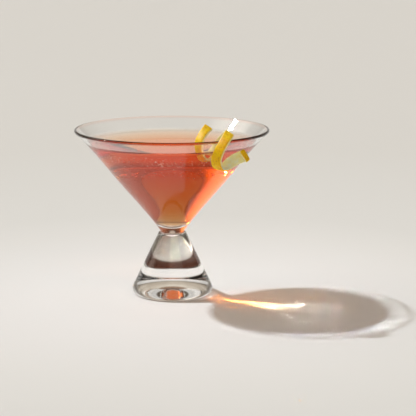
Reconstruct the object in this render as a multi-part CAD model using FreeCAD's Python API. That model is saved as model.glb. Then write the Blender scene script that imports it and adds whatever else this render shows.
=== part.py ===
import FreeCAD, Part
import math
import os

V = FreeCAD.Vector

# A martini glass with a solid conical foot, a drink and a curled strip of lemon peel on the rim.
# Millimetres, +Z up. The origin is on the glass's axis, at the surface that it stands on.

# Glass bowl
GLASS_HEIGHT = 103.6
RIM_RADIUS = 60.0
WALL = 1.8                # glass thickness, square to the wall, and the lip's diameter
LIP_LEAN = math.radians(44)   # how far the wall leans outwards from upright, just under the lip
WALL_COURSE = ((6.9, 39.0), (9.7, 43.0), (20.1, 56.0), (37.0, 76.0), (51.9, 94.0))   # outside: radius, height
INNER_BOTTOM = 43.8       # height of the bowl's inside at its axis
SOLID_POINTS = 2          # the wall's lowest points, where the glass is solid: the inside starts above them

# Solid glass foot
FOOT_TOP = 39.0
FOOT_TOP_RADIUS = 7.9
SHOULDER = 0.8            # rounding of the foot's top edge
FOOT_MAX_RADIUS = 24.9
FOOT_MAX_HEIGHT = 2.6     # height at which the foot is widest
CONE_LOW_RADIUS = 23.6
CONE_LOW_HEIGHT = 7.4     # the straight cone ends here and rolls under
CONTACT_OUTER = 23.2
CONTACT_INNER = 17.0      # the foot rests on the ring between these two radii
HOLLOW_DEPTH = 5.5        # depth of the domed hollow pressed into the underside
UNDER_TANGENT = V(-0.9, 0, -0.44)    # the way the rolled edge meets the table

# Drink
DRINK_LEVEL = 95.8
POCKET_FLOOR = 90.2       # the peel's curl dips into a pocket of the drink with upright walls
POCKET_FROM = (19.4, -41.0)
POCKET_TO = (24.2, -37.6)
POCKET_RADIUS = 6.8

# Peel: the middle of the strip, and the way its yellow face looks there
PEEL_COURSE = (
    (V(22.4, -38.0, 109.8), V(0.55, 0.2, 0.8)),      # cut end, above the drink
    (V(19.2, -42.0, 106.4), V(-0.2, -0.5, 0.8)),
    (V(16.6, -44.5, 100.6), V(-0.7, -0.7, 0.1)),
    (V(17.2, -42.0, 95.5), V(-0.6, -0.6, -0.5)),
    (V(20.6, -35.8, 92.1), V(-0.1, 0.1, -1.0)),      # foot of the first turn, in the drink
    (V(25.5, -35.0, 95.6), V(0.35, 0.85, -0.4)),
    (V(30.0, -39.8, 101.2), V(0.45, 0.8, 0.2)),
    (V(34.6, -48.5, 107.4), V(0.5, -0.1, 0.86)),     # over the rim
    (V(31.4, -55.5, 103.3), V(-0.3, -0.7, 0.6)),
    (V(27.7, -57.5, 96.2), V(-0.45, -0.9, 0.1)),
    (V(27.2, -57.6, 91.2), V(-0.4, -0.8, -0.45)),
    (V(29.6, -56.5, 88.0), V(0.0, -0.1, -1.0)),      # foot of the second turn, outside
    (V(34.8, -53.5, 90.6), V(0.05, 0.9, -0.4)),
    (V(39.9, -50.8, 93.4), V(-0.1, 0.95, -0.2)),
    (V(43.3, -50.3, 95.0), V(0.45, 0.8, 0.3)),
    (V(44.2, -52.3, 95.5), V(0.85, -0.1, 0.52)),     # the tail folds over
    (V(42.6, -54.2, 94.6), V(-0.05, -1.0, 0.1)),     # cut end
)
PEEL_START_WIDTH = 5.2
PEEL_END_WIDTH = 7.2      # the strip widens along its length
ZEST_THICKNESS = 0.6
PITH_THICKNESS = 1.2
PEEL_SECTIONS = 64        # sections along the strip


def point(radius, height):
    return V(radius, 0, height)


def line(start, end):
    return Part.LineSegment(start, end).toShape()


def curve(points, start_tangent=None, end_tangent=None):
    """A smooth edge through the points, with its end directions if they are given."""
    spline = Part.BSplineCurve()
    if start_tangent is None:
        spline.interpolate(Points=points)
    else:
        spline.interpolate(Points=points, InitialTangent=start_tangent, FinalTangent=end_tangent)
    return spline.toShape()


def lathe(edges):
    """The solid made by turning a closed outline in the XZ plane about the Z axis."""
    face = Part.Face(Part.Wire(edges))
    return face.revolve(V(0, 0, 0), V(0, 0, 1), 360)


def lip():
    """The lip's centre, and the direction of the wall's outside as it meets the lip."""
    centre = point(RIM_RADIUS - WALL / 2, GLASS_HEIGHT - WALL / 2)
    return centre, V(math.sin(LIP_LEAN), 0, math.cos(LIP_LEAN))


def inward(along):
    """The direction square to the wall, towards the inside of the bowl."""
    return V(-along.z, 0, along.x)


def outer_wall():
    """The points of the bowl's outside, from the neck up to the lip."""
    centre, along = lip()
    return [point(*at) for at in WALL_COURSE] + [centre - inward(along) * (WALL / 2)]


def inner_wall():
    """The points of the bowl's inside, from its bottom at the axis up to the lip."""
    outer = outer_wall()
    points = [point(0, INNER_BOTTOM)]
    for index in range(SOLID_POINTS, len(outer) - 1):
        along = (outer[index + 1] - outer[index - 1]).normalize()
        points.append(outer[index] + inward(along) * WALL)
    centre, along = lip()
    return points + [centre + inward(along) * (WALL / 2)]


def inside_edge():
    return curve(inner_wall(), V(1, 0, 0), lip()[1])


def make_bowl():
    outer = outer_wall()
    inner = inner_wall()
    neck = outer[0]
    centre, along = lip()
    outline = [
        line(point(0, neck.z), neck),
        curve(outer, (outer[1] - neck).normalize(), along),
        Part.Arc(outer[-1], centre + along * (WALL / 2), inner[-1]).toShape(),
        inside_edge(),
        line(inner[0], point(0, neck.z)),
    ]
    return lathe(outline)


def make_foot():
    shoulder_side = point(FOOT_TOP_RADIUS + SHOULDER, FOOT_TOP - SHOULDER)
    shoulder_mid = point(
        FOOT_TOP_RADIUS + SHOULDER * math.sin(math.radians(45)),
        FOOT_TOP - SHOULDER * (1 - math.cos(math.radians(45))),
    )
    cone_low = point(CONE_LOW_RADIUS, CONE_LOW_HEIGHT)
    roll = [cone_low, point(FOOT_MAX_RADIUS, FOOT_MAX_HEIGHT), point(CONTACT_OUTER, 0)]
    dome_radius = (CONTACT_INNER ** 2 + HOLLOW_DEPTH ** 2) / (2 * HOLLOW_DEPTH)
    dome_angle = math.asin(CONTACT_INNER / dome_radius) / 2
    dome_mid = point(
        dome_radius * math.sin(dome_angle),
        HOLLOW_DEPTH - dome_radius * (1 - math.cos(dome_angle)),
    )
    outline = [
        line(point(0, FOOT_TOP), point(FOOT_TOP_RADIUS, FOOT_TOP)),
        Part.Arc(point(FOOT_TOP_RADIUS, FOOT_TOP), shoulder_mid, shoulder_side).toShape(),
        line(shoulder_side, cone_low),
        curve(roll, (cone_low - shoulder_side).normalize(), UNDER_TANGENT),
        line(point(CONTACT_OUTER, 0), point(CONTACT_INNER, 0)),
        Part.Arc(point(CONTACT_INNER, 0), dome_mid, point(0, HOLLOW_DEPTH)).toShape(),
        line(point(0, HOLLOW_DEPTH), point(0, FOOT_TOP)),
    ]
    return lathe(outline)


def make_pocket():
    """An upright slot with round ends, around the part of the peel that is under the drink's level."""
    start = V(*POCKET_FROM, POCKET_FLOOR)
    end = V(*POCKET_TO, POCKET_FLOOR)
    along = (end - start).normalize()
    across = V(-along.y, along.x, 0) * POCKET_RADIUS
    reach = along * POCKET_RADIUS
    outline = [
        line(start - across, end - across),
        Part.Arc(end - across, end + reach, end + across).toShape(),
        line(end + across, start + across),
        Part.Arc(start + across, start - reach, start - across).toShape(),
    ]
    return Part.Face(Part.Wire(outline)).extrude(V(0, 0, GLASS_HEIGHT - POCKET_FLOOR))


def make_cocktail():
    """The drink fills the bowl's inside up to its level."""
    bottom = inner_wall()[0]
    top = inner_wall()[-1]
    full = lathe([inside_edge(), line(top, point(0, top.z)), line(point(0, top.z), bottom)])
    above = Part.makeCylinder(GLASS_HEIGHT, GLASS_HEIGHT, V(0, 0, DRINK_LEVEL))
    return full.cut(above).cut(make_pocket()).removeSplitter()


def make_peel(outer_offset, inner_offset):
    """One layer of the strip, between two offsets from its middle, measured towards the yellow face."""
    middle = Part.BSplineCurve()
    middle.interpolate(Points=[at for at, _ in PEEL_COURSE])
    knots = middle.getKnots()
    facing = Part.BSplineCurve()
    facing.interpolate(Points=[look.normalize() for _, look in PEEL_COURSE], Parameters=knots)
    sections = []
    for index in range(PEEL_SECTIONS + 1):
        share = index / PEEL_SECTIONS
        at = knots[0] + share * (knots[-1] - knots[0])
        centre = middle.value(at)
        along = middle.tangent(at)[0]
        across = along.cross(facing.value(at)).normalize()
        up = across.cross(along)
        half = across * (PEEL_START_WIDTH + (PEEL_END_WIDTH - PEEL_START_WIDTH) * share ** 2) / 2
        low = centre + up * inner_offset
        high = centre + up * outer_offset
        sections.append(Part.makePolygon([low - half, low + half, high + half, high - half, low - half]))
    return Part.makeLoft(sections, True, False)


def main():
    peel_half = (ZEST_THICKNESS + PITH_THICKNESS) / 2
    zest_inner = peel_half - ZEST_THICKNESS
    nodes = {
        "bowl": make_bowl(),
        "foot": make_foot(),
        "cocktail": make_cocktail(),
        "twist_zest": make_peel(peel_half, zest_inner),
        "twist_pith": make_peel(zest_inner, -peel_half),
    }
    os.makedirs("parts", exist_ok=True)
    for name, shape in nodes.items():
        solid = shape.Solids[0]
        solid.exportStep(os.path.join("parts", name + ".step"))
        print(name, "valid", solid.isValid(), "solids", len(shape.Solids), "volume", round(solid.Volume))


main()
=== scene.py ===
import math
import random

import bpy
import numpy as np
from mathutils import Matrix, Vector, noise


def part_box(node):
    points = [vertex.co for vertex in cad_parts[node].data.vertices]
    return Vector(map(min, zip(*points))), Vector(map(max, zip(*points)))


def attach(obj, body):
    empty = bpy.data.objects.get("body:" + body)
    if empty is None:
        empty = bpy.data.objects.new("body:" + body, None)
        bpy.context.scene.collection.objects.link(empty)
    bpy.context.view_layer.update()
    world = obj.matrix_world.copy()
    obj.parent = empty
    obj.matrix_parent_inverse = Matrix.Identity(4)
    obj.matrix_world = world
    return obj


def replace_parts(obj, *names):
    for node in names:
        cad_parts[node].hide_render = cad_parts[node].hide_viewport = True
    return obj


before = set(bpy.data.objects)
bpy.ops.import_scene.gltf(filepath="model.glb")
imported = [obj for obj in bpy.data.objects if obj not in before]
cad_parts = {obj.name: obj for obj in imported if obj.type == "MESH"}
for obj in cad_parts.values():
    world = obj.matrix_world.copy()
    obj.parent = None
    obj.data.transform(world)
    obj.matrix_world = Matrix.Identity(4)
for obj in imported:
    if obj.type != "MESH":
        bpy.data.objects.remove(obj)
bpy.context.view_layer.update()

# A martini glass: a thin conical bowl fused to a solid cone foot, a clear orange-red drink with small
# bubbles on its wall, and a curled strip of lemon peel over the rim. Metres, in the frame of the model.

MM = 0.001

# ---------------------------------------------------------------- sizes read from the frame
BOWL_LOW, BOWL_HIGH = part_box("bowl")
FOOT_LOW, FOOT_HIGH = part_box("foot")
DRINK_LOW, DRINK_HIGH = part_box("cocktail")
RIM_RADIUS = BOWL_HIGH.x
RIM_HEIGHT = BOWL_HIGH.z
NECK_HEIGHT = FOOT_HIGH.z
DRINK_LEVEL = DRINK_HIGH.z
INNER_BOTTOM = DRINK_LOW.z

# ---------------------------------------------------------------- sizes shared with the model
WALL = 1.8 * MM
LIP_LEAN = math.radians(44)
# The wall's outside, from the neck up: radius and height, mm.
WALL_COURSE = ((6.9, 39.0), (9.7, 43.0), (20.1, 56.0), (37.0, 76.0), (51.9, 94.0))
SOLID_POINTS = 2          # the wall's lowest points, where the glass is solid
FOOT_TOP_RADIUS = 7.9 * MM
SHOULDER = 0.8 * MM
CONE_LOW = (23.6 * MM, 7.4 * MM)
FOOT_WIDEST = (24.9 * MM, 2.6 * MM)
CONTACT_OUTER = 23.2 * MM
CONTACT_INNER = 17.0 * MM
HOLLOW_DEPTH = 5.5 * MM
UNDER_TANGENT = (-0.9, -0.44)

# ---------------------------------------------------------------- sizes of the looks alone
TURN_STEPS = 320          # steps round a turned piece
FLANK_STEPS = 40          # steps up the foot's straight side
JOIN = 0.12 * MM          # how far touching clear pieces run into each other, so that no air shows between
MENISCUS_RISE = 1.3 * MM  # how far the drink climbs the glass at its edge
MENISCUS_REACH = 2.6 * MM


# ---------------------------------------------------------------- curves
def spline(points, start=None, end=None, steps=12):
    """A smooth line through the points, `steps` to each stretch, with its end directions if given."""
    points = np.array(points, float)
    chords = np.linalg.norm(np.diff(points, axis=0), axis=1)
    count = len(points)
    matrix = np.zeros((count, count))
    right = np.zeros_like(points)
    for i in range(1, count - 1):
        matrix[i, i - 1] = chords[i]
        matrix[i, i] = 2 * (chords[i - 1] + chords[i])
        matrix[i, i + 1] = chords[i - 1]
        before = (points[i] - points[i - 1]) / chords[i - 1]
        after = (points[i + 1] - points[i]) / chords[i]
        right[i] = 3 * (chords[i] * before + chords[i - 1] * after)
    for row, given, near in ((0, start, 1), (count - 1, end, count - 2)):
        matrix[row, row] = 1.0
        if given is None:
            matrix[row, near] = 0.5
            low, high = min(row, near), max(row, near)
            right[row] = 1.5 * (points[high] - points[low]) / chords[low]
        else:
            right[row] = np.array(given) / np.linalg.norm(given)
    slopes = np.linalg.solve(matrix, right)
    line = []
    for i in range(count - 1):
        t = np.linspace(0, 1, steps, endpoint=False)[:, None]
        line.append(
            (1 + 2 * t) * (1 - t) ** 2 * points[i]
            + t * (1 - t) ** 2 * chords[i] * slopes[i]
            + t * t * (3 - 2 * t) * points[i + 1]
            + t * t * (t - 1) * chords[i] * slopes[i + 1]
        )
    return np.vstack(line + [points[-1:]])


def arc(centre, radius, start, end, steps):
    """Points of a circle in the (radius, height) plane, between two angles from the outward direction."""
    angles = np.linspace(start, end, steps)
    return [(centre[0] + radius * math.cos(a), centre[1] + radius * math.sin(a)) for a in angles]


# ---------------------------------------------------------------- meshes
def make_object(name, verts, faces, material, slot, body, sharp=math.radians(40)):
    mesh = bpy.data.meshes.new(name)
    mesh.from_pydata([tuple(v) for v in verts], [], faces)
    mesh.validate()
    mesh.polygons.foreach_set("use_smooth", [True] * len(mesh.polygons))
    mesh.set_sharp_from_angle(angle=sharp)
    mesh.materials.append(material)
    piece = bpy.data.objects.new(name, mesh)
    bpy.context.scene.collection.objects.link(piece)
    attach(piece, body)
    return piece


def turned(outline):
    """Vertices and faces of a closed turned piece. The outline starts and ends on the axis and runs
    from the bottom, up the outside, and back down to the axis."""
    verts = [(0, 0, outline[0][1])]
    for radius, height in outline[1:-1]:
        for k in range(TURN_STEPS):
            angle = 2 * math.pi * k / TURN_STEPS
            verts.append((radius * math.cos(angle), radius * math.sin(angle), height))
    verts.append((0, 0, outline[-1][1]))
    faces = []
    last = len(verts) - 1
    rings = len(outline) - 2
    for k in range(TURN_STEPS):
        after = (k + 1) % TURN_STEPS
        faces.append((0, 1 + after, 1 + k))
        for ring in range(rings - 1):
            low = 1 + ring * TURN_STEPS
            high = low + TURN_STEPS
            faces.append((low + k, low + after, high + after, high + k))
        top = 1 + (rings - 1) * TURN_STEPS
        faces.append((top + k, top + after, last))
    return verts, faces


# ---------------------------------------------------------------- the glass's outline
def lip():
    """The lip's centre, and the wall's direction as it meets the lip, in the (radius, height) plane."""
    centre = np.array((RIM_RADIUS - WALL / 2, RIM_HEIGHT - WALL / 2))
    return centre, np.array((math.sin(LIP_LEAN), math.cos(LIP_LEAN)))


def inward(along):
    return np.array((-along[1], along[0]))


def wall_lines():
    """The bowl's outside line going up, and its inside line going up from the axis."""
    centre, along = lip()
    outer = [np.array(at) * MM for at in WALL_COURSE] + [centre - inward(along) * WALL / 2]
    inner = [np.array((0.0, INNER_BOTTOM))]
    for i in range(SOLID_POINTS, len(outer) - 1):
        direction = (outer[i + 1] - outer[i - 1]) / np.linalg.norm(outer[i + 1] - outer[i - 1])
        inner.append(outer[i] + inward(direction) * WALL)
    inner.append(centre + inward(along) * WALL / 2)
    outside = spline(outer, start=outer[1] - outer[0], end=along)
    inside = spline(inner, start=(1, 0), end=along, steps=14)
    return outside, inside


def bowl_outline():
    outside, inside = wall_lines()
    centre, _ = lip()
    rim = arc(centre, WALL / 2, -LIP_LEAN, math.pi - LIP_LEAN, 16)[1:-1]
    base = [(0, NECK_HEIGHT - JOIN), (outside[0][0], NECK_HEIGHT - JOIN)]
    return base + [tuple(p) for p in outside] + rim + [tuple(p) for p in inside[::-1]]


def foot_outline():
    quarter = arc((FOOT_TOP_RADIUS, NECK_HEIGHT - SHOULDER), SHOULDER, 0, math.pi / 2, 8)
    cone = (CONE_LOW[0] - quarter[0][0], CONE_LOW[1] - quarter[0][1])
    roll = spline([CONE_LOW, FOOT_WIDEST, (CONTACT_OUTER, 0)], start=cone, end=UNDER_TANGENT, steps=16)
    dome_radius = (CONTACT_INNER ** 2 + HOLLOW_DEPTH ** 2) / (2 * HOLLOW_DEPTH)
    reach = math.asin(CONTACT_INNER / dome_radius)
    hollow = arc((0, HOLLOW_DEPTH - dome_radius), dome_radius, math.pi / 2, math.pi / 2 - reach, 24)
    flank = []
    for k in range(1, FLANK_STEPS):
        flank.append((CONE_LOW[0] - cone[0] * k / FLANK_STEPS, CONE_LOW[1] - cone[1] * k / FLANK_STEPS))
    side = [tuple(p) for p in roll[::-1]] + flank + quarter
    return hollow + side + [(0, NECK_HEIGHT)]


def drink_outline():
    """The drink runs a hair into the glass, climbs it a little at the edge, and is flat in the middle."""
    _, inside = wall_lines()
    top = DRINK_LEVEL + MENISCUS_RISE
    reach = np.interp(top, inside[:, 1], inside[:, 0])
    wetted = [(r, z - JOIN) for r, z in inside if z < top - JOIN]
    surface = []
    for step in range(24):
        back = 5 * MENISCUS_REACH * (step / 23) ** 2
        height = DRINK_LEVEL + MENISCUS_RISE * math.exp(-back / MENISCUS_REACH)
        surface.append((reach + JOIN - back, height))
    middle = [(surface[-1][0] * share, DRINK_LEVEL) for share in (0.75, 0.5, 0.25)]
    return wetted + surface + middle + [(0, DRINK_LEVEL)]


# ---------------------------------------------------------------- the peel
PEEL_COURSE = (           # the middle of the strip, and the way its yellow face looks there, mm
    ((22.4, -38.0, 109.8), (0.55, 0.2, 0.8)),       # cut end, above the drink
    ((19.2, -42.0, 106.4), (-0.2, -0.5, 0.8)),
    ((16.6, -44.5, 100.6), (-0.7, -0.7, 0.1)),
    ((17.2, -42.0, 95.5), (-0.6, -0.6, -0.5)),
    ((20.6, -35.8, 92.1), (-0.1, 0.1, -1.0)),       # foot of the first turn, in the drink
    ((25.5, -35.0, 95.6), (0.35, 0.85, -0.4)),
    ((30.0, -39.8, 101.2), (0.45, 0.8, 0.2)),
    ((34.6, -48.5, 107.4), (0.5, -0.1, 0.86)),      # over the rim
    ((31.4, -55.5, 103.3), (-0.3, -0.7, 0.6)),
    ((27.7, -57.5, 96.2), (-0.45, -0.9, 0.1)),
    ((27.2, -57.6, 91.2), (-0.4, -0.8, -0.45)),
    ((29.6, -56.5, 88.0), (0.0, -0.1, -1.0)),       # foot of the second turn, outside
    ((34.8, -53.5, 90.6), (0.05, 0.9, -0.4)),
    ((39.9, -50.8, 93.4), (-0.1, 0.95, -0.2)),
    ((43.3, -50.3, 95.0), (0.45, 0.8, 0.3)),
    ((44.2, -52.3, 95.5), (0.85, -0.1, 0.52)),      # the tail folds over
    ((42.6, -54.2, 94.6), (-0.05, -1.0, 0.1)),      # cut end
)
PEEL_WIDTHS = (5.2 * MM, 7.2 * MM)
SKIN_BASE = 0.3 * MM      # where the two layers meet, outward of the strip's course
ZEST = 0.6 * MM
PITH = 1.2 * MM
SKIN_CROWN = 0.12 * MM    # how far the skin bulges along its middle
PULP_DEPTH = 0.16 * MM    # how rough the pith's face is
PITH_WIDER = 0.22 * MM    # how far the pith stands out past the skin at each side
EDGE_WANDER = 0.035       # how uneven the cut edges are, as a share of the half width
PEEL_STEPS = 26           # steps to each stretch of the course
SKIN_STEPS = 22           # steps across a face of the strip
PORES_PER_METRE = 950
PORE_DEPTH = 0.2 * MM
FIBRES_PER_METRE = 420


def unit(rows):
    return rows / np.linalg.norm(rows, axis=-1, keepdims=True)


def peel_frames():
    """Centre, across and outward direction, and half width, all along the strip."""
    course = np.array([at for at, _ in PEEL_COURSE]) * MM
    looks = unit(np.array([look for _, look in PEEL_COURSE]))
    line = spline(np.hstack([course, looks * MM]), steps=PEEL_STEPS)
    centre, facing = line[:, :3], unit(line[:, 3:])
    along = unit(np.gradient(centre, axis=0))
    across = unit(np.cross(along, facing))
    outward = np.cross(across, along)
    share = np.linspace(0, 1, len(centre))
    half = (PEEL_WIDTHS[0] + (PEEL_WIDTHS[1] - PEEL_WIDTHS[0]) * share ** 2) / 2
    return centre, across, outward, half


def wander(share, seed, turns):
    """A slow seeded wave along the strip, between about -1 and 1."""
    rng = random.Random(seed)
    total = 0
    for k in range(1, 5):
        total += math.sin(2 * math.pi * (turns * k * share + rng.random())) / k
    return total / 2


def pore(at):
    """How deep a point of the skin lies in an oil gland's dimple, from 0 to 1."""
    distance = noise.voronoi(at * PORES_PER_METRE)[0][0]
    return max(0.0, 1 - distance / 0.42) ** 2


def fibres(at):
    return noise.fractal(at * FIBRES_PER_METRE, 0.9, 2.0, 3)


def peel_layer(low, high, crown, skin_depth, pulp_depth, wider=0):
    """Vertices and faces of one layer of the strip, between two offsets from the strip's middle. The
    outer face is crowned and may be pored, the corners are rounded, and the inner face may be fibrous."""
    centre, across, outward, half = peel_frames()
    count = len(centre)
    loop = 2 * (SKIN_STEPS + 1)
    verts = []
    for i in range(count):
        share = i / (count - 1)
        reach = {
            -1: wider + half[i] * (1 + EDGE_WANDER * wander(share, 11, 7)),
            1: wider + half[i] * (1 + EDGE_WANDER * wander(share, 12, 6)),
        }
        for face in (0, 1):
            for j in range(SKIN_STEPS + 1):
                t = (-1 + 2 * j / SKIN_STEPS) * (1 if face == 0 else -1)
                spot = centre[i] + across[i] * t * reach[1 if t > 0 else -1]
                edge = abs(t) ** 10
                if face == 0:
                    offset = high + crown * (1 - t * t) - 0.3 * (high - low) * edge
                    offset -= skin_depth * pore(Vector(spot)) * (1 - edge)
                else:
                    offset = low + 0.12 * (high - low) * edge
                    offset += pulp_depth * fibres(Vector(spot)) * (1 - edge)
                verts.append(spot + outward[i] * offset)
    faces = []
    for i in range(count - 1):
        for j in range(loop):
            a, b = i * loop + j, i * loop + (j + 1) % loop
            faces.append((a, b, b + loop, a + loop))
    for i, turn in ((0, 1), (count - 1, -1)):
        first = i * loop
        for j in range(SKIN_STEPS):
            quad = (first + j, first + loop - 1 - j, first + loop - 2 - j, first + j + 1)
            faces.append(quad[::turn])
    return verts, faces


# ---------------------------------------------------------------- bubbles
BUBBLE_BAND = (85.5 * MM, 94.0 * MM)      # heights on the wall at which they cling
BUBBLE_CROWD = 91.5 * MM                  # the height at which most of them cling
BUBBLE_SIZES = (0.14 * MM, 0.44 * MM)     # radii
BUBBLE_COUNT = 760


def bubble_cluster():
    """Small round bubbles on the inside of the wall, crowded in a loose band under the drink's edge."""
    _, inside = wall_lines()
    rng = random.Random(5)
    ball_verts, ball_faces = ball()
    verts, faces = [], []
    for _ in range(BUBBLE_COUNT):
        angle = rng.uniform(0, 2 * math.pi)
        crowd = 0.5 + 0.5 * math.sin(3 * angle + 1.1) * math.sin(7 * angle)
        if rng.random() > 0.25 + 0.75 * crowd:
            continue
        height = rng.triangular(*BUBBLE_BAND, BUBBLE_CROWD)
        size = rng.uniform(*BUBBLE_SIZES) * rng.uniform(0.6, 1)
        radius = np.interp(height, inside[:, 1], inside[:, 0]) - 1.1 * size
        middle = np.array((radius * math.cos(angle), radius * math.sin(angle), height))
        first = len(verts)
        verts += [middle + v * size for v in ball_verts]
        faces += [tuple(first + k for k in face) for face in ball_faces]
    return verts, faces


def ball(rings=8, segments=12):
    """A unit ball's vertices and faces."""
    verts = [np.array((0, 0, -1.0))]
    for ring in range(1, rings):
        tilt = math.pi * ring / rings
        for k in range(segments):
            turn = 2 * math.pi * k / segments
            wide = math.sin(tilt)
            verts.append(np.array((wide * math.cos(turn), wide * math.sin(turn), -math.cos(tilt))))
    verts.append(np.array((0, 0, 1.0)))
    faces = []
    top = len(verts) - 1
    for k in range(segments):
        after = (k + 1) % segments
        faces.append((0, 1 + after, 1 + k))
        faces.append((top - segments + k, top - segments + after, top))
        for ring in range(rings - 2):
            low = 1 + ring * segments
            faces.append((low + k, low + after, low + segments + after, low + segments + k))
    return verts, faces


# ---------------------------------------------------------------- materials
GLASS_IOR = 1.5
DRINK_IOR = 1.345
DRINK_TONE = (0.985, 0.60, 0.08)          # 1 is a colour that isn't absorbed at all
DRINK_DENSITY = 70        # absorption per metre of a colour whose tone is 0
DRINK_REFLECTION = 0.3    # less than 1, because the glass wall round the drink reflects as well
BOWL_REFLECTION = 0.6
# painted glow: the drink's orange light, carried up the wall to the lip, painted into the glass's colour
# there
LIP_PAINTED_GLOW = (0.99, 0.82, 0.76)
LIP_GLOW_BAND = (1.6 * MM, 0.8 * MM)           # depths under the rim over which the lip's painted glow comes in


class Nodes:
    """A new material's node tree, with short calls to add and join nodes."""

    def __init__(self, name):
        self.material = bpy.data.materials.new(name)
        self.material.use_nodes = True
        self.tree = self.material.node_tree
        self.tree.nodes.clear()
        self.output = self.add("OutputMaterial")
        self.place = self.add("TexCoord").outputs["Object"]

    def add(self, kind, **settings):
        node = self.tree.nodes.new("ShaderNode" + kind)
        for key, value in settings.items():
            setattr(node, key, value)
        return node

    def join(self, source, target):
        self.tree.links.new(source, target)

    def noise(self, scale, detail=2.0, roughness=0.5):
        node = self.add("TexNoise")
        node.inputs["Scale"].default_value = scale
        node.inputs["Detail"].default_value = detail
        node.inputs["Roughness"].default_value = roughness
        self.join(self.place, node.inputs["Vector"])
        return node.outputs["Fac"]

    def cells(self, scale):
        node = self.add("TexVoronoi", feature="SMOOTH_F1")
        node.inputs["Scale"].default_value = scale
        self.join(self.place, node.inputs["Vector"])
        return node.outputs["Distance"]

    def ramp(self, factor, *stops):
        node = self.add("ValToRGB")
        ramp = node.color_ramp
        while len(ramp.elements) < len(stops):
            ramp.elements.new(0.5)
        for element, (position, colour) in zip(ramp.elements, stops):
            element.position = position
            element.color = (*colour, 1)
        self.join(factor, node.inputs["Fac"])
        return node.outputs["Color"]

    def span(self, value, low, high, to_low, to_high):
        node = self.add("MapRange")
        for socket, number in zip(node.inputs[1:5], (low, high, to_low, to_high)):
            socket.default_value = number
        self.join(value, node.inputs["Value"])
        return node.outputs["Result"]

    def bump(self, height, distance, strength=1.0, normal=None):
        node = self.add("Bump")
        node.inputs["Distance"].default_value = distance
        node.inputs["Strength"].default_value = strength
        self.join(height, node.inputs["Height"])
        if normal is not None:
            self.join(normal, node.inputs["Normal"])
        return node.outputs["Normal"]

    def principled(self, **values):
        node = self.add("BsdfPrincipled")
        for key, value in values.items():
            node.inputs[key.replace("_", " ")].default_value = value
        return node


def grey(value):
    return (value, value, value)


def glass(name, tint, waves, reflection, lip=None):
    """Clear glass, blown rather than cut: its surface is very slightly wavy, and dull where it was handled.
    The lip may have a painted glow: an orange tint near the rim that stands in for the drink's light,
    carried up inside the wall."""
    nodes = Nodes(name)
    shader = nodes.principled(IOR=GLASS_IOR, Transmission_Weight=1.0, Specular_Tint=(*grey(reflection), 1))
    handled = nodes.noise(38, 4.0, 0.6)
    colour = nodes.ramp(handled, (0.35, tint), (0.7, grey(1.0)))
    # painted glow: the glass near the rim is tinted orange for the drink's light that the wall carries up to
    # it
    if lip is not None:
        parts = nodes.add("SeparateXYZ")
        nodes.join(nodes.place, parts.inputs[0])
        at_lip = nodes.span(parts.outputs["Z"], RIM_HEIGHT - LIP_GLOW_BAND[0], RIM_HEIGHT - LIP_GLOW_BAND[1], 0.0, 1.0)
        mix = nodes.add("Mix", data_type="RGBA")
        nodes.join(at_lip, mix.inputs["Factor"])
        nodes.join(colour, mix.inputs[6])
        mix.inputs[7].default_value = (*lip, 1)
        colour = mix.outputs[2]
    nodes.join(colour, shader.inputs["Base Color"])
    nodes.join(nodes.span(handled, 0.62, 0.8, 0.0, 0.035), shader.inputs["Roughness"])
    nodes.join(nodes.bump(nodes.noise(waves, 1.0), 0.05 * MM, 0.5), shader.inputs["Normal"])
    nodes.join(shader.outputs[0], nodes.output.inputs["Surface"])
    return nodes.material


def drink_material():
    """A clear orange-red drink: the colour is in its depth, so thin parts are pale and deep parts red."""
    nodes = Nodes("drink_clear")
    shader = nodes.principled(
        IOR=DRINK_IOR, Transmission_Weight=1.0, Roughness=0.0, Specular_Tint=(*grey(DRINK_REFLECTION), 1),
    )
    swirl = nodes.noise(55, 3.0, 0.55)
    nodes.join(nodes.ramp(swirl, (0.3, (1.0, 0.985, 0.97)), (0.7, grey(1.0))), shader.inputs["Base Color"])
    nodes.join(nodes.bump(nodes.noise(120, 1.0), 0.02 * MM, 0.5), shader.inputs["Normal"])
    depth = nodes.add("VolumeAbsorption")
    depth.inputs["Color"].default_value = (*DRINK_TONE, 1)
    depth.inputs["Density"].default_value = DRINK_DENSITY
    nodes.join(depth.outputs[0], nodes.output.inputs["Volume"])
    nodes.join(shader.outputs[0], nodes.output.inputs["Surface"])
    return nodes.material


def bubble_material():
    """Gas in the drink: it bends light the other way, and its fine walls are slightly milky."""
    nodes = Nodes("drink_bubbles")
    shader = nodes.principled(IOR=1 / DRINK_IOR, Transmission_Weight=0.4, Roughness=0.1)
    film = nodes.noise(900, 2.0)
    nodes.join(nodes.ramp(film, (0.3, (1.0, 0.96, 0.93)), (0.7, grey(1.0))), shader.inputs["Base Color"])
    nodes.join(shader.outputs[0], nodes.output.inputs["Surface"])
    return nodes.material


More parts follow.
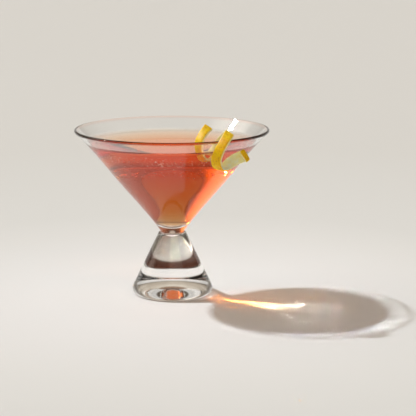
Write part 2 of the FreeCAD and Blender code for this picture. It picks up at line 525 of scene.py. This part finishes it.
def zest_material():
    """Waxy lemon skin: bright yellow between darker oil glands, greener and browner in slow patches."""
    nodes = Nodes("lemon_zest_skin")
    shader = nodes.principled(
        Subsurface_Weight=0.25, Subsurface_Radius=(1.0, 0.55, 0.05), Subsurface_Scale=0.7 * MM,
        Specular_IOR_Level=0.28, Coat_Weight=0.05, Coat_Roughness=0.25,
    )
    glands = nodes.cells(PORES_PER_METRE)
    patches = nodes.noise(130, 3.0, 0.6)
    base = nodes.ramp(
        patches, (0.3, (0.93, 0.47, 0.001)), (0.52, (0.98, 0.60, 0.002)), (0.75, (0.99, 0.71, 0.006)),
    )
    spots = nodes.ramp(glands, (0.06, (0.58, 0.38, 0.2)), (0.22, (0.84, 0.72, 0.5)), (0.45, grey(1.0)))
    tint = nodes.add("Mix", data_type="RGBA", blend_type="MULTIPLY")
    tint.inputs["Factor"].default_value = 0.85
    nodes.join(base, tint.inputs[6])
    nodes.join(spots, tint.inputs[7])
    nodes.join(tint.outputs[2], shader.inputs["Base Color"])
    nodes.join(nodes.span(glands, 0.0, 0.6, 0.55, 0.36), shader.inputs["Roughness"])
    grain = nodes.bump(nodes.noise(3200, 3.0, 0.6), 0.04 * MM, 0.35)
    nodes.join(nodes.bump(glands, 0.22 * MM, 0.9, grain), shader.inputs["Normal"])
    nodes.join(shader.outputs[0], nodes.output.inputs["Surface"])
    return nodes.material


def pith_material():
    """Damp white pith: soft, fibrous, and yellow where the skin shines through."""
    nodes = Nodes("lemon_pith_inner")
    shader = nodes.principled(
        Subsurface_Weight=0.7, Subsurface_Radius=(1.0, 0.85, 0.4), Subsurface_Scale=2.2 * MM,
        Specular_IOR_Level=0.3,
    )
    fibre = nodes.noise(520, 5.0, 0.65)
    blotch = nodes.noise(150, 2.0)
    pale = nodes.ramp(fibre, (0.3, (0.93, 0.80, 0.34)), (0.5, (0.97, 0.88, 0.52)), (0.7, (0.99, 0.96, 0.76)))
    wet = nodes.ramp(blotch, (0.35, (0.98, 0.93, 0.74)), (0.62, grey(1.0)))
    tint = nodes.add("Mix", data_type="RGBA", blend_type="MULTIPLY")
    tint.inputs["Factor"].default_value = 0.8
    nodes.join(pale, tint.inputs[6])
    nodes.join(wet, tint.inputs[7])
    nodes.join(tint.outputs[2], shader.inputs["Base Color"])
    nodes.join(nodes.span(blotch, 0.3, 0.7, 0.38, 0.7), shader.inputs["Roughness"])
    nodes.join(nodes.bump(fibre, 0.25 * MM, 0.6), shader.inputs["Normal"])
    nodes.join(shader.outputs[0], nodes.output.inputs["Surface"])
    return nodes.material


# ---------------------------------------------------------------- the object
def build_object():
    clear = glass("bowl_glass_clear", (0.992, 0.996, 0.994), 60, BOWL_REFLECTION, lip=LIP_PAINTED_GLOW)
    thick = glass("foot_glass_solid", (0.985, 0.992, 0.990), 45, 1.0)
    drink = drink_material()
    skin = peel_layer(SKIN_BASE, SKIN_BASE + ZEST, SKIN_CROWN, PORE_DEPTH, 0)
    pulp = peel_layer(SKIN_BASE - PITH, SKIN_BASE, 0, 0, PULP_DEPTH, PITH_WIDER)
    pieces = (
        ("glass_bowl", turned(bowl_outline()), clear, "bowl_glass", "glass", "bowl"),
        ("glass_foot", turned(foot_outline()), thick, "foot_glass", "glass", "foot"),
        ("drink", turned(drink_outline()), drink, "drink", "glass", "cocktail"),
        ("lemon_zest", skin, zest_material(), "lemon_zest", "garnish", "twist_zest"),
        ("lemon_pith", pulp, pith_material(), "lemon_pith", "garnish", "twist_pith"),
    )
    for name, (verts, faces), material, slot, body, node in pieces:
        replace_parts(make_object(name, verts, faces, material, slot, body), node)
    make_object("drink_bubbles", *bubble_cluster(), bubble_material(), "drink", "glass")


# ---------------------------------------------------------------- floor, light and camera
FLOOR_REACH = 14.0
FLOOR_DROP = 0.02 * MM            # keeps the floor clear of the foot's contact ring
FLOOR_LIGHT_POOL_FADE = (0.08, 0.60)         # distances from the glass over which the floor's painted pool of light fades
# painted pool of light: floor tones from lighter near the glass to darker far from it
FLOOR_LIGHT_POOL_TONES = (
    (0.0, (0.82, 0.805, 0.80)), (0.115, (0.775, 0.762, 0.750)), (0.21, (0.745, 0.728, 0.708)),
    (0.33, (0.705, 0.688, 0.665)), (1.0, (0.675, 0.650, 0.620)),
)
CONTACT_PAINTED_SHADE = (0.17, 0.07, 0.045)        # painted shade: the floor under the contact ring, dark brown
SUN_TOWARDS = (-84, 48, 103)      # from the glass to the sun
SUN_STRENGTH = 2.6
SUN_WIDTH = math.radians(2.2)
SUN_TONE = (0.90, 0.965, 1.0)
CAMERA_LENS = 138.7
CAMERA_AT = (22.2 * MM, -976.6 * MM, 243.1 * MM)
CAMERA_DOWN = 10.97               # degrees below level
LIGHT_BOUNCES = 48                # the lip and the drink need long paths
WALL_TONE = (0.63, 0.605, 0.565)


def build_floor():
    """A large pale disc with a painted pool of light, whose tone falls off softly away from the glass, and
    painted shade under the foot's contact ring.
    """
    nodes = Nodes("floor_paper")
    shader = nodes.principled(Roughness=0.7, Specular_IOR_Level=0.15)
    length = nodes.add("VectorMath", operation="LENGTH")
    nodes.join(nodes.place, length.inputs[0])
    # painted pool of light round the glass
    near_to_far = nodes.span(length.outputs["Value"], *FLOOR_LIGHT_POOL_FADE, 0.0, 1.0)
    tone = nodes.ramp(near_to_far, *FLOOR_LIGHT_POOL_TONES)
    grain = nodes.noise(420, 5.0, 0.6)
    away = length.outputs["Value"]
    # painted shade: a dark brown ring on the floor under the foot's contact ring
    inner = nodes.span(away, CONTACT_INNER - 0.4 * MM, CONTACT_INNER + 0.4 * MM, 0.0, 1.0)
    outer = nodes.span(away, CONTACT_OUTER - 0.6 * MM, CONTACT_OUTER + 0.6 * MM, 1.0, 0.0)
    ring = nodes.add("Math", operation="MULTIPLY")
    nodes.join(inner, ring.inputs[0])
    nodes.join(outer, ring.inputs[1])
    contact = nodes.add("Mix", data_type="RGBA")
    nodes.join(ring.outputs[0], contact.inputs["Factor"])
    nodes.join(tone, contact.inputs[6])
    contact.inputs[7].default_value = (*CONTACT_PAINTED_SHADE, 1)
    nodes.join(contact.outputs[2], shader.inputs["Base Color"])
    nodes.join(nodes.bump(grain, 0.08 * MM, 0.25), shader.inputs["Normal"])
    nodes.join(shader.outputs[0], nodes.output.inputs["Surface"])
    steps = 96
    rim = []
    for k in range(steps):
        turn = 2 * math.pi * k / steps
        rim.append((FLOOR_REACH * math.cos(turn), FLOOR_REACH * math.sin(turn), 0))
    mesh = bpy.data.meshes.new("floor")
    mesh.from_pydata(rim, [], [tuple(range(steps))])
    mesh.materials.append(nodes.material)
    floor = bpy.data.objects.new("floor", mesh)
    floor.location.z = -FLOOR_DROP
    bpy.context.scene.collection.objects.link(floor)


def build_sun():
    sun = bpy.data.lights.new("key_sun", "SUN")
    sun.energy = SUN_STRENGTH
    sun.angle = SUN_WIDTH
    sun.color = SUN_TONE
    lamp = bpy.data.objects.new("key_sun", sun)
    lamp.rotation_euler = Vector(SUN_TOWARDS).to_track_quat("Z", "Y").to_euler()
    bpy.context.scene.collection.objects.link(lamp)


# The studio: its tone by height (the sine of the elevation) on the side behind the glass, how much of
# that is left on the near side, and soft round lights in it. Each light has the way to its middle, the
# cosines of the angles at which it is full and gone, and its colour.
ROOM = (
    (0.0, WALL_TONE), (0.15, WALL_TONE), (0.22, (0.13, 0.10, 0.075)), (0.36, (0.17, 0.14, 0.105)),
    (0.60, (0.24, 0.20, 0.155)), (0.82, (0.39, 0.34, 0.28)), (1.0, (0.37, 0.325, 0.27)),
)
NEAR_SIDE = 0.15
SOFT_LIGHTS = (
    ((-0.72, 0.26, 0.643), 0.985, 0.87, (1.9, 1.72, 1.50)),
    ((0, 0.78, 0.62), 0.95, 0.84, (0.30, 0.26, 0.21)),
    ((0.24, -0.86, 0.45), 0.96, 0.82, (0.85, 0.78, 0.69)),
)


def build_room():
    world = bpy.data.worlds.new("studio")
    bpy.context.scene.world = world
    world.use_nodes = True
    tree = world.node_tree
    tree.nodes.clear()

    def add(kind, **settings):
        node = tree.nodes.new("ShaderNode" + kind)
        for key, value in settings.items():
            setattr(node, key, value)
        return node

    def span(value, low, high, to_low, to_high):
        node = add("MapRange", interpolation_type="SMOOTHSTEP")
        for socket, number in zip(node.inputs[1:5], (low, high, to_low, to_high)):
            socket.default_value = number
        tree.links.new(value, node.inputs["Value"])
        return node.outputs["Result"]

    def blend(kind, factor, one, two):
        node = add("Mix", data_type="RGBA", blend_type=kind, clamp_factor=False)
        sockets = (node.inputs["Factor"], node.inputs[6], node.inputs[7])
        for socket, source in zip(sockets, (factor, one, two)):
            if isinstance(source, tuple):
                socket.default_value = source
            else:
                tree.links.new(source, socket)
        return node.outputs[2]

    way = add("TexCoord").outputs["Generated"]
    parts = add("SeparateXYZ")
    tree.links.new(way, parts.inputs[0])
    room = add("ValToRGB")
    while len(room.color_ramp.elements) < len(ROOM):
        room.color_ramp.elements.new(0.5)
    for element, (position, colour) in zip(room.color_ramp.elements, ROOM):
        element.position = position
        element.color = (*colour, 1)
    tree.links.new(parts.outputs["Z"], room.inputs["Fac"])
    low = span(parts.outputs["Z"], 0.17, 0.24, 1, 0)
    far = span(parts.outputs["Y"], -0.35, 0.10, NEAR_SIDE, 1)
    keep = add("Math", operation="MAXIMUM")
    tree.links.new(low, keep.inputs[0])
    tree.links.new(far, keep.inputs[1])
    total = blend("MIX", keep.outputs[0], (0.0, 0.0, 0.0, 1.0), room.outputs["Color"])
    for middle, full, gone, colour in SOFT_LIGHTS:
        facing = add("VectorMath", operation="DOT_PRODUCT")
        facing.inputs[1].default_value = Vector(middle).normalized()
        tree.links.new(way, facing.inputs[0])
        total = blend("ADD", span(facing.outputs["Value"], gone, full, 0, 1), total, (*colour, 1.0))
    back = add("Background")
    tree.links.new(total, back.inputs["Color"])
    tree.links.new(back.outputs[0], add("OutputWorld").inputs["Surface"])


def build_camera():
    camera = bpy.data.cameras.new("camera")
    camera.sensor_width = 36
    camera.lens = CAMERA_LENS
    camera.clip_end = 60
    eye = bpy.data.objects.new("camera", camera)
    eye.location = CAMERA_AT
    eye.rotation_euler = (math.radians(90 - CAMERA_DOWN), 0, 0)
    bpy.context.scene.collection.objects.link(eye)
    bpy.context.scene.camera = eye


def set_look():
    scene = bpy.context.scene
    scene.view_settings.view_transform = "Standard"
    scene.cycles.max_bounces = LIGHT_BOUNCES
    scene.cycles.transmission_bounces = LIGHT_BOUNCES
    scene.cycles.glossy_bounces = 8
    scene.cycles.transparent_max_bounces = 32
    scene.cycles.volume_bounces = 0
    scene.cycles.blur_glossy = 0
    scene.cycles.sample_clamp_indirect = 0
    scene.cycles.use_guiding = True
    scene.cycles.use_surface_guiding = True
    scene.cycles.use_volume_guiding = False
    scene.cycles.guiding_training_samples = 64


build_object()
build_floor()
build_sun()
build_room()
build_camera()
set_look()
